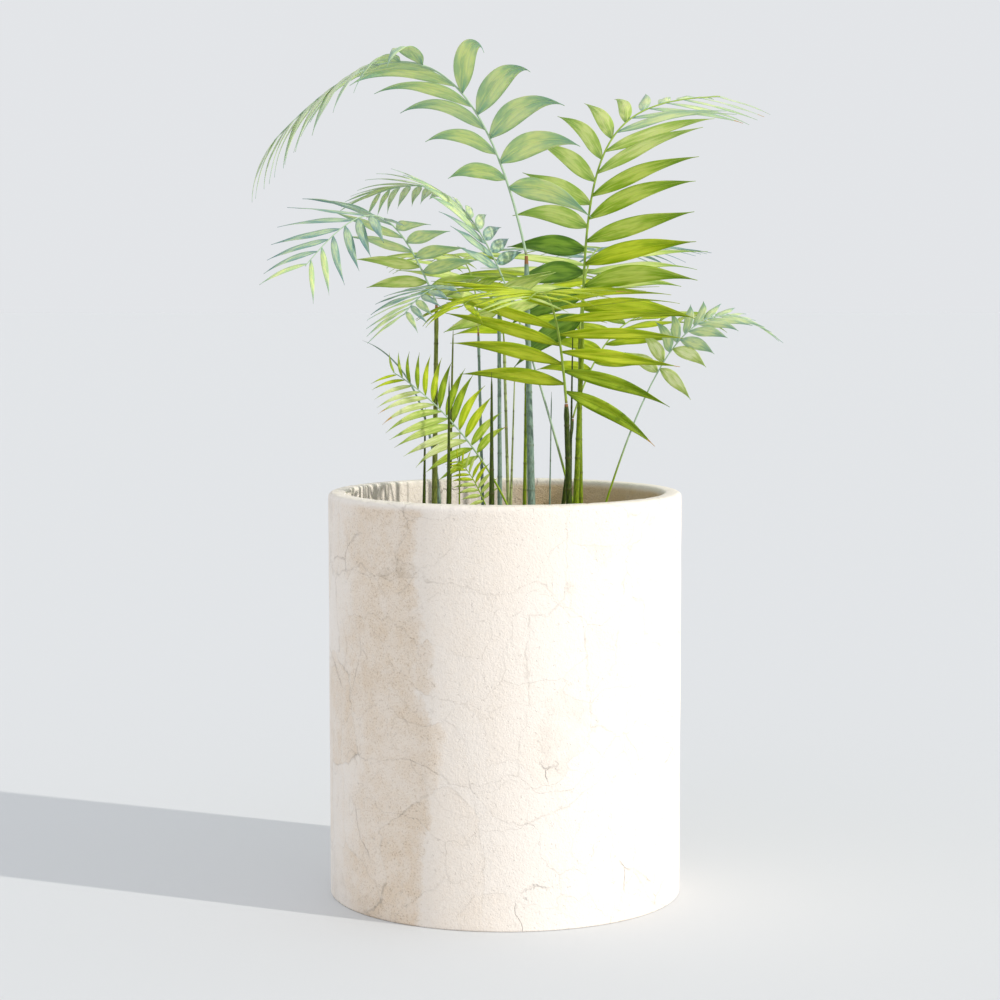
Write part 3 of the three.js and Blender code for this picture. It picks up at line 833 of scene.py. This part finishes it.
# %% [markdown]
# Leaf colour is dealt out by leaflet: each has one of several greens, by its frond and its place on it,
# and some of these greens are painted light and shade. The finish gives every leaf a cooler foot and tip,
# a painted glow in soft lengthwise patches as if light came through the blade, fine veins along the blade
# and a light middle vein. The UV map runs across and along the leaf, so the pattern follows it.

# %% Leaf finishes
# Each noise's shares of the blade's width and length, then its scale, detail, roughness and distortion.
PATCH_PATTERN = ((1.1, 2.2), (1.5, 2.0, 0.5, 0.3))
STREAK_PATTERN = ((10, 1.2), (1.0, 3.0, 0.6))
RIPPLE_PATTERN = ((13, 0.8), (1.0, 2.0, 0.5))
PUCKER_NOISE = (130.0, 3.0, 0.5)
LEAF_RELIEF = (0.001, 0.6)


def leaf_finish(name, colour, glow, shade):
    """colour is the blade's green, glow its lit patches, and shade its streaks and ends."""
    finish = Finish(name)
    place = finish.object_place()
    x, _, z = finish.parts(place)
    across, along = finish.uv()
    apart = x * 3 + z * 4

    def pattern(shares, noise_values):
        """Noise that follows the blade, and that differs from leaflet to leaflet by where they stand."""
        return finish.clouds(finish.place_of(across * shares[0], along * shares[1], apart), *noise_values)

    painted_glow = finish.band(pattern(*PATCH_PATTERN), 0.36, 0.66)
    streak = finish.band(pattern(*STREAK_PATTERN), 0.48, 0.76)
    ends = finish.band(along, 0.5, 1.0).over(1 - finish.band(along, 0.0, 0.2))
    vein = 1 - finish.band(across.size(), 0.02, 0.07)
    # The glow coat is painted light, as if the lamp shone through the blade; the vein coat is the leaf's own.
    base = finish.coats(
        colour,
        (painted_glow * 0.95, glow),
        (ends * (0.4 + (1 - painted_glow) * 0.5), shade),
        (streak * 0.26, shade),
        (vein * 0.45, glow),
    )
    relief = pattern(*RIPPLE_PATTERN) * 0.5 + finish.clouds(place, *PUCKER_NOISE) * 0.7 + vein * 0.3
    finish.set(Base_Color=base, Roughness=0.4 + painted_glow * 0.1, Normal=finish.bump(relief, *LEAF_RELIEF))
    finish.set(Specular_IOR_Level=0.28, Subsurface_Weight=0.15, Subsurface_Scale=0.003)
    finish.set(Subsurface_Radius=(0.6, 1.0, 0.2))
    return finish


# Some greens stand for light: deep and moss are painted shade for leaflets in shadow, pale is painted light
# on lit ones, and the blue-greys sage, mist, steel and frost are partly the leaves' own colour and partly
# painted reflection of the pale sky.
SHADES = {
    "lime": ((164, 188, 6), (216, 230, 58), (94, 118, 0)),
    "grass": ((148, 178, 36), (206, 222, 104), (88, 124, 16)),
    "moss": ((122, 150, 8), (172, 194, 44), (76, 102, 0)),
    "deep": ((86, 124, 22), (146, 178, 62), (50, 84, 10)),
    "fresh": ((176, 204, 92), (228, 240, 150), (112, 150, 58)),
    "pale": ((204, 222, 132), (244, 252, 196), (128, 160, 48)),
    "sage": ((176, 206, 152), (230, 242, 164), (112, 160, 154)),
    "mist": ((168, 198, 156), (222, 236, 170), (112, 156, 152)),
    "steel": ((128, 162, 156), (194, 214, 174), (92, 130, 144)),
    "frost": ((186, 206, 172), (220, 233, 188), (150, 180, 170)),
    "dry_tip": ((200, 164, 74), (216, 190, 110), (168, 118, 56)),
}
SHADE_NAMES = list(SHADES)
leaf_looks = [leaf_finish("leaf_" + name, *colours) for name, colours in SHADES.items()]
print(len(leaf_looks), "leaf finishes")

# %% [markdown]
# A real leaflet is a thin blade: slightly folded at the middle vein, pleated, waved at its edges, twisted
# and bowed a little, with a drawn-out point. Here it is a grid of faces whose corners are laid along its
# middle line, and a seeded draw makes each a little different. Hundreds of them are joined from arrays
# into one mesh, which is far quicker than one object each, and a Solidify modifier gives the blades their
# thickness.

# %% Leaflet shape
SWELL, TAPER = 0.85, 1.5
WIDEST = SWELL / (SWELL + TAPER)
FOOT_WIDTH, TIP_WIDTH = 0.12, 0.025
BLADE_COLUMNS, BLADE_THICK = 6, 0.35
FOLD, PLEAT = -0.2, 0.05
EDGE_WAVE, EDGE_WAVES, LEAN = (0.05, 0.14), 1.7, 0.16
BOW, TIP_BOW, DROOP = (-0.015, 0.04), (-0.05, 0.04), 0.035
DRY_FROM, DRY_SPREAD, SHADE_SPREAD = 0.86, (-0.06, 0.08), 0.3


def outline(along):
    """Share of the full width at each share of the length."""
    return along**SWELL * (1 - along) ** TAPER / (WIDEST**SWELL * (1 - WIDEST) ** TAPER)


sheet = bmesh.new()
bmesh.ops.create_grid(sheet, x_segments=BLADE_COLUMNS, y_segments=LEAF_LINE, size=1)
sheet_corners = np.array([corner.co for corner in sheet.verts])
sheet_faces = np.array([[corner.index for corner in face.verts] for face in sheet.faces])
sheet.free()
ACROSS = sheet_corners[:, 0]
ALONG = (sheet_corners[:, 1] + 1) / 2
FACE_ALONG = ALONG[sheet_faces].mean(axis=1)
print("a leaflet has", len(sheet_faces), "faces")


def units(vectors):
    """Every row drawn to a length of 1."""
    return vectors / np.linalg.norm(vectors, axis=1)[:, None]


def blade(leaf, frond, draw):
    """The corners of one leaflet, in metres. It bows a little and ends in a drawn-out point."""
    steps = ALONG * LEAF_LINE
    low = np.minimum(steps.astype(int), LEAF_LINE - 1)
    part = (steps - low)[:, None]
    places = leaf["places"][low] * (1 - part) + leaf["places"][low + 1] * part
    headings = units(leaf["headings"][low] * (1 - part) + leaf["headings"][low + 1] * part)
    edges = units(np.cross(leaf["face"][None, :], headings))
    ups = np.cross(headings, edges)
    least = np.where(ALONG < 0.5, FOOT_WIDTH * (1 - 2 * ALONG) ** 4, TIP_WIDTH)
    slender = frond["slender"][0 if leaf["side"] > 0 else 1]
    half = leaf["width"] * slender / 2 * np.maximum(outline(ALONG), np.maximum(least, TIP_WIDTH))
    wave, phase = draw.uniform(*EDGE_WAVE), draw.uniform(0, math.tau, 2)
    turn = draw.uniform(-LEAN, LEAN) * math.pi * ALONG**1.5
    fold = FOLD * np.abs(ACROSS) ** 1.4 + PLEAT * np.cos(ACROSS * math.tau)
    ripple = np.sin(math.tau * (ALONG * EDGE_WAVES) + np.where(ACROSS > 0, *phase))
    flutter = wave * np.abs(ACROSS) ** 1.5 * ripple
    bow = draw.uniform(*BOW) * np.sin(math.pi * ALONG) + draw.uniform(*TIP_BOW) * ALONG**3
    droop = draw.uniform(-DROOP, DROOP) * ALONG**4
    shift = -leaf["side"] * bow * leaf["length"]
    places = places + edges * shift[:, None] + ups * (droop * leaf["length"])[:, None]
    outward, upward = ACROSS * half, (fold + flutter) * half
    sideways = outward * np.cos(turn) - upward * np.sin(turn)
    upwards = outward * np.sin(turn) + upward * np.cos(turn)
    return (places + edges * sideways[:, None] + ups * upwards[:, None]) * MM


def dealt_shades(leaf, frond, draw):
    """The material of each face of a leaflet: its green, and at times a dry tip."""
    # The rib's left side gets its own greens where left_light_and_shade names them: painted shade where it
    # stands in shadow, painted light where it is lit.
    greens = frond["left_light_and_shade"] if leaf["side"] > 0 and frond["left_light_and_shade"] else frond["shades"]
    spot = leaf["leafy"] * (len(greens) - 1) + draw.uniform(-SHADE_SPREAD, SHADE_SPREAD)
    shade = greens[min(max(round(spot), 0), len(greens) - 1)]
    dealt = np.full(len(sheet_faces), SHADE_NAMES.index(shade))
    if draw.random() < frond["dry"]:
        dealt[FACE_ALONG > DRY_FROM + draw.uniform(*DRY_SPREAD)] = SHADE_NAMES.index("dry_tip")
    return dealt


# %% [markdown]
# The leaflets are joined by kind into three pieces, so that each stays light enough to be handled alone:
# those of the upper fronds, those of the lower ones in front, and those behind. Each piece stands for its
# fronds' nodes.

# %% Leaflets


def leaflets(name, members):
    """One joined piece from the leaflets of the named fronds."""
    draw = np.random.default_rng(SEED + len(members))
    corners, shades = [], []
    for frond_name, frond, leaf in leaves:
        if frond_name in members:
            corners.append(blade(leaf, frond, draw))
            shades.append(dealt_shades(leaf, frond, draw))
    faces = [sheet_faces + i * len(sheet_corners) for i in range(len(corners))]
    mesh = bpy.data.meshes.new(name)
    mesh.from_pydata(np.concatenate(corners).tolist(), [], np.concatenate(faces).tolist())
    mesh.polygons.foreach_set("material_index", np.concatenate(shades).astype(np.int32))
    layer = mesh.uv_layers.new(name="UVMap")
    spots = np.stack([ACROSS, ALONG], axis=1)[sheet_faces.ravel()]
    layer.data.foreach_set("uv", np.tile(spots, (len(corners), 1)).astype(np.float32).ravel())
    nodes = [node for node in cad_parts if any(node.startswith(member) for member in members)]
    piece = dress(mesh, name, leaf_looks, "frond", *nodes)
    thickness = piece.modifiers.new("thickness", "SOLIDIFY")
    thickness.thickness = BLADE_THICK * MM
    thickness.offset = 0


upper = ["frond_top_left", "frond_right_tall", "frond_left_wide", "frond_left_arch", "frond_left_low"]
lower = ["frond_front_low", "frond_right_low", "frond_fan", "frond_young", "frond_middle"]
rear = ["frond_right_back", "frond_rear_left", "frond_rear", "frond_rear_right"]
leaflets("leaflets_upper", upper)
leaflets("leaflets_lower", lower)
leaflets("leaflets_rear", rear)

# %% [markdown]
# Stems come from one rod, a line spun round its axis and capped, whose corners are then laid along a
# curve. Canes have leaf scars: low rings a few centimetres apart, with a darker line in each. Attributes
# carry the rings and the dry sheath mouths to the finish. The rod is mirrored when it is laid, so its
# faces are listed the other way round and point outwards in the end.

# %% Stem helpers
FRONT = np.array([0.0, -1.0, 0.0])
ROD_MERGE = 1e-5
UV_SCALE = 10


def rod(sides, rings):
    """A closed rod of radius 1 from 0 to 1, as corners and faces that laid turns outwards."""
    bm = spun([(1, i / rings) for i in range(rings + 1)], sides, ROD_MERGE)
    bmesh.ops.holes_fill(bm, edges=[edge for edge in bm.edges if edge.is_boundary], sides=0)
    bmesh.ops.recalc_face_normals(bm, faces=bm.faces)
    bm.verts.index_update()
    corners = np.array([corner.co for corner in bm.verts])
    faces = [[corner.index for corner in face.verts] for face in bm.faces]
    bm.free()
    return corners, [[first, *reversed(others)] for first, *others in faces]


def laid(rod_corners, shares, curve, radius):
    """A rod's corners in metres, at their shares of a curve. radius gives millimetres by share and turn."""
    placed = np.empty_like(rod_corners)
    for share in np.unique(shares):
        on_curve = max(share, 0)
        heading = curve.heading(on_curve)
        left = unit(np.cross(FRONT, heading))
        under = np.cross(left, heading)
        middle = curve.at(on_curve) + heading * (min(share, 0) * curve.length)
        for row in np.flatnonzero(shares == share):
            across, deep, _ = rod_corners[row]
            size = radius(share, math.atan2(deep, across))
            placed[row] = middle + (left * across + under * deep) * size
    return placed * MM


def stem_spots(rod_corners, shares, curve):
    """A rod's UV places: once round it, and its length in tenths of a metre."""
    turns = np.arctan2(rod_corners[:, 1], rod_corners[:, 0]) / math.tau + 0.5
    return np.stack([turns, shares * curve.length * MM * UV_SCALE], axis=1)


def risen(values, start, reach):
    """0 up to start and 1 once reach beyond it, with a straight rise between."""
    return np.clip((values - start) / reach, 0, 1)


def joined(name, parts, finishes, slot, nodes, attributes):
    """One piece from parts, each with corners, faces, a material index, UV places and attribute values."""
    mesh = bpy.data.meshes.new(name)
    corners, faces, indices, spots = [], [], [], []
    count = 0
    for part in parts:
        corners.append(part["corners"])
        faces += [[i + count for i in face] for face in part["faces"]]
        indices += [part["finish"]] * len(part["faces"])
        spots += [part["spots"][i] for face in part["faces"] for i in face]
        count += len(part["corners"])
    mesh.from_pydata(np.concatenate(corners).tolist(), [], faces)
    mesh.polygons.foreach_set("material_index", indices)
    mesh.uv_layers.new(name="UVMap").data.foreach_set("uv", np.array(spots, np.float32).ravel())
    for attribute in attributes:
        values = np.concatenate([part[attribute] for part in parts]).astype(np.float32)
        mesh.attributes.new(attribute, "FLOAT", "POINT").data.foreach_set("value", values)
    dress(mesh, name, finishes, slot, *nodes)


print("stem helpers ready")

# %% [markdown]
# The canes' five greens run from blue-green to olive. The dark and olive greens are partly painted shade,
# for canes that stand in the leaves' shadow. Each finish has fine streaks along the stem, a dark line in
# every leaf scar, and red-brown where a sheath has dried.

# %% Stem finishes
SPECK, SCAR_BROWN, DRY_SHEATH = (92, 78, 44), (86, 82, 44), (150, 104, 72)
CANE_STREAK, SPECK_NOISE, STEM_RELIEF = ((22, 14), (1.0, 4.0, 0.6)), (420.0, 2.0), (0.0005, 0.5)


def stem_streak(finish, shares, noise_values):
    """Noise that follows a stem, from its shares of the turn round it and of its length."""
    around, along = finish.uv()
    return finish.clouds(finish.place_of(around * shares[0], along * shares[1]), *noise_values)


def stem_finish(name, colour, streak_colour):
    finish = Finish(name)
    streak = stem_streak(finish, *CANE_STREAK)
    speck = finish.clouds(finish.object_place(), *SPECK_NOISE)
    scar, dry = finish.attribute("scar"), finish.attribute("dry")
    ragged = finish.band(dry + streak * 0.5 - 0.25, 0.35, 0.6)
    base = finish.coats(
        colour,
        (finish.band(streak, 0.38, 0.66), streak_colour),
        ((1 - finish.band(speck, 0.3, 0.38)) * 0.4, SPECK),
        (scar * 0.7, SCAR_BROWN),
        (ragged, DRY_SHEATH),
    )
    relief = finish.bump(streak * 0.6 + speck * 0.3, *STEM_RELIEF)
    finish.set(Base_Color=base, Roughness=0.5 + ragged * 0.3, Normal=relief, Specular_IOR_Level=0.25)
    return finish


# dark and olive are partly painted shade, for canes that stand in the leaves' shadow.
STEM_GREENS = {
    "blue": ((108, 136, 122), (148, 170, 152)),
    "bright": ((96, 122, 4), (146, 168, 24)),
    "dark": ((38, 54, 3), (76, 96, 10)),
    "olive": ((82, 94, 28), (134, 144, 66)),
    "pale": ((150, 168, 96), (192, 204, 140)),
}
STEM_NAMES = list(STEM_GREENS)
stem_looks = [stem_finish("stem_" + name, *greens) for name, greens in STEM_GREENS.items()]
print(len(stem_looks), "stem finishes")

# %% [markdown]
# Every cane and spear is the same rod laid along its own curve, and only its radius differs. The radius
# runs between the stem's two thicknesses, swells at each scar and flares at the soil. A cane has a collar
# below its frond, where the old sheaths wrap it, and a spear ends in a point. Both sink a few millimetres
# into the soil, so that no gap shows at the foot.

# %% Canes and spears
SINK = 4.0
SCAR_STEP, SCAR_WIDTH, SCAR_SWELL = (17, 34), 0.9, 0.13
SPEAR_RINGED, CANE_RINGED, SCAR_DARK, BLUE_SCAR = 0.8, 0.9, 0.9, 0.5
OVAL, LUMPS = (0.035, 2, 9), (0.02, 5, -23)
CANE_SIDES, CANE_RINGS = 14, 150
SPEAR_POINT, SPEAR_TIP = 0.08, 0.3
FLARE, FLARE_HEIGHT = 0.12, 6
COLLAR, COLLAR_FROM, COLLAR_RISE = 0.14, 0.86, 0.04
NECK, NECK_FROM, NECK_RISE = 0.42, 0.9, 0.1
SPEAR_DRY, CANE_DRY = (0.975, 0.025), (0.955, 0.03)
REDDEST, DRYNESS = "cane_top_left", 0.55
cane_rod, cane_faces = rod(CANE_SIDES, CANE_RINGS)


def scar_places(length, draw):
    """Where the leaf scars are, in millimetres from the foot."""
    scars, far = [], draw.uniform(*SCAR_STEP)
    while far < length:
        scars.append(far)
        far += draw.uniform(*SCAR_STEP)
    return np.array(scars)


def stem_part(name, foot, top, thick, green, draw):
    """A ringed cane, or a spear that ends in a point."""
    curve = cane_curve(name, foot, top)
    spear = name.startswith("spear")
    scars = scar_places(curve.length * (SPEAR_RINGED if spear else CANE_RINGED), draw)

    def ring(share):
        return float(np.exp(-(((share * curve.length - scars) / SCAR_WIDTH) ** 2)).sum())

    def radius(share, turn):
        size = between(thick, max(share, 0)) / 2
        shape = 1
        for depth, waves, twist in (OVAL, LUMPS):
            shape += depth * math.sin(turn * waves + share * twist)
        if not spear:
            neck = NECK * risen(share, NECK_FROM, NECK_RISE) ** 1.5
            shape += COLLAR * risen(share, COLLAR_FROM, COLLAR_RISE) - neck
        shape += SCAR_SWELL * ring(share)
        point = max(1 - risen(share, 1 - SPEAR_POINT, SPEAR_POINT), SPEAR_TIP) if spear else 1
        return size * shape * point * (1 + FLARE * math.exp(-max(share, 0) * curve.length / FLARE_HEIGHT))

    start = -SINK / curve.length
    shares = start + (1 - start) * cane_rod[:, 2]
    return {
        "corners": laid(cane_rod, shares, curve, radius),
        "faces": cane_faces,
        "finish": STEM_NAMES.index(green),
        "spots": stem_spots(cane_rod, shares, curve),
        "scar": np.array([ring(share) for share in shares]) * (BLUE_SCAR if green == "blue" else SCAR_DARK),
        "dry": risen(shares, *(SPEAR_DRY if spear else CANE_DRY)) * (1 if name == REDDEST else DRYNESS),
    }


draw = np.random.default_rng(SEED)
stems = {row[0]: stem_part(*row, draw) for row in CANES}
for piece_name, kind in (("canes", "cane"), ("spears", "spear")):
    names = [name for name in stems if name.startswith(kind)]
    joined(piece_name, [stems[name] for name in names], stem_looks, "cane", names, ("scar", "dry"))

# %% [markdown]
# The ribs are thinner rods along the frond curves. Six of the fourteen fronds have pale ribs, and the
# others green ones. A stalk that rises from the soil is greener at its foot, and one that leaves a cane
# starts in a dry brown mouth. A shallow groove runs along each, and it swells a little where a pair of
# leaflets leaves it.

# %% Ribs
RIB_SIDES, RIB_RINGS = 10, 90
SLIMMER, SWELLING, SWELLING_WIDTH, GROOVE = 0.68, 0.16, 1.6, 0.1
GREEN_TO, GREEN_FADE = 112, 50
DRY_MOUTH_TO, MOUTH_DRYNESS = 16, 0.5
GREEN_FOOT, DRY_MOUTH = (150, 182, 30), (158, 118, 84)
RIB_STREAK, RIB_RELIEF = ((16, 12), (1.0, 3.0, 0.6)), (0.0003, 0.4)
RIB_GREENS = {
    "pale": ((158, 188, 158), (196, 214, 184)),
    "green": ((128, 160, 44), (172, 194, 88)),
}
RIB_NAMES = list(RIB_GREENS)
rib_rod, rib_faces = rod(RIB_SIDES, RIB_RINGS)
rib_shares = rib_rod[:, 2]


def rib_part(frond, curve):
    """A frond's rib, with a small swelling where each pair of leaflets leaves it."""
    pairs = np.arange(frond["pairs"]) / (frond["pairs"] - 1 + STAGGER)
    joints = (frond["bare"] + (1 - frond["bare"]) * pairs * LAST_LEAF) * curve.length
    far = rib_shares * curve.length
    borne = "cane" in frond

    def radius(share, turn):
        swelling = float(np.exp(-(((share * curve.length - joints) / SWELLING_WIDTH) ** 2)).sum())
        groove = 1 - GROOVE * max(math.cos(turn + math.pi / 2), 0) ** 3
        return between(frond["rib"], share) / 2 * SLIMMER * groove * (1 + SWELLING * min(swelling, 1))

    return {
        "corners": laid(rib_rod, rib_shares, curve, radius),
        "faces": rib_faces,
        "finish": RIB_NAMES.index(frond["stem"]),
        "spots": stem_spots(rib_rod, rib_shares, curve),
        "dry": np.clip(1 - far / DRY_MOUTH_TO, 0, 1) * (MOUTH_DRYNESS if borne else 0),
        "foot": np.clip((GREEN_TO - far) / GREEN_FADE, 0, 1) * (0 if borne else 1),
    }


def rib_finish(name, colour, streak_colour):
    finish = Finish(name)
    streak = stem_streak(finish, *RIB_STREAK)
    foot, dry = finish.attribute("foot"), finish.attribute("dry")
    base = finish.coats(
        colour,
        (finish.band(streak, 0.4, 0.66), streak_colour),
        (foot, GREEN_FOOT),
        (finish.band(dry + streak * 0.4 - 0.2, 0.3, 0.6), DRY_MOUTH),
    )
    relief = finish.bump(streak, *RIB_RELIEF)
    finish.set(Base_Color=base, Roughness=0.5 + streak * 0.08, Normal=relief, Specular_IOR_Level=0.4)
    return finish


rib_looks = [rib_finish("rib_" + name, *greens) for name, greens in RIB_GREENS.items()]
rib_nodes = [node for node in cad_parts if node.startswith("frond")]
rib_parts = [rib_part(frond, curve) for frond, curve in ribs]
joined("frond_ribs", rib_parts, rib_looks, "frond", rib_nodes, ("dry", "foot"))

# %% [markdown]
# A pale floor carries the planter. It is wide enough for no edge to show, and as pale as the surrounding,
# so that the two meet without a line. It belongs to the studio and not to the part.

# %% Floor
FLOOR_HALF = 60
FLOOR_COLOUR = (0.733, 0.749, 0.768)
floor_mesh = bmesh.new()
bmesh.ops.create_grid(floor_mesh, x_segments=1, y_segments=1, size=FLOOR_HALF)
floor_data = bpy.data.meshes.new("studio_floor")
floor_mesh.to_mesh(floor_data)
floor_mesh.free()
floor = bpy.data.objects.new("studio_floor", floor_data)
bpy.context.scene.collection.objects.link(floor)
floor_look = Finish("studio_floor")
floor_look.set(Base_Color=FLOOR_COLOUR, Roughness=0.8, Specular_IOR_Level=0.2)
floor_data.materials.append(floor_look.material)
print("floor laid")
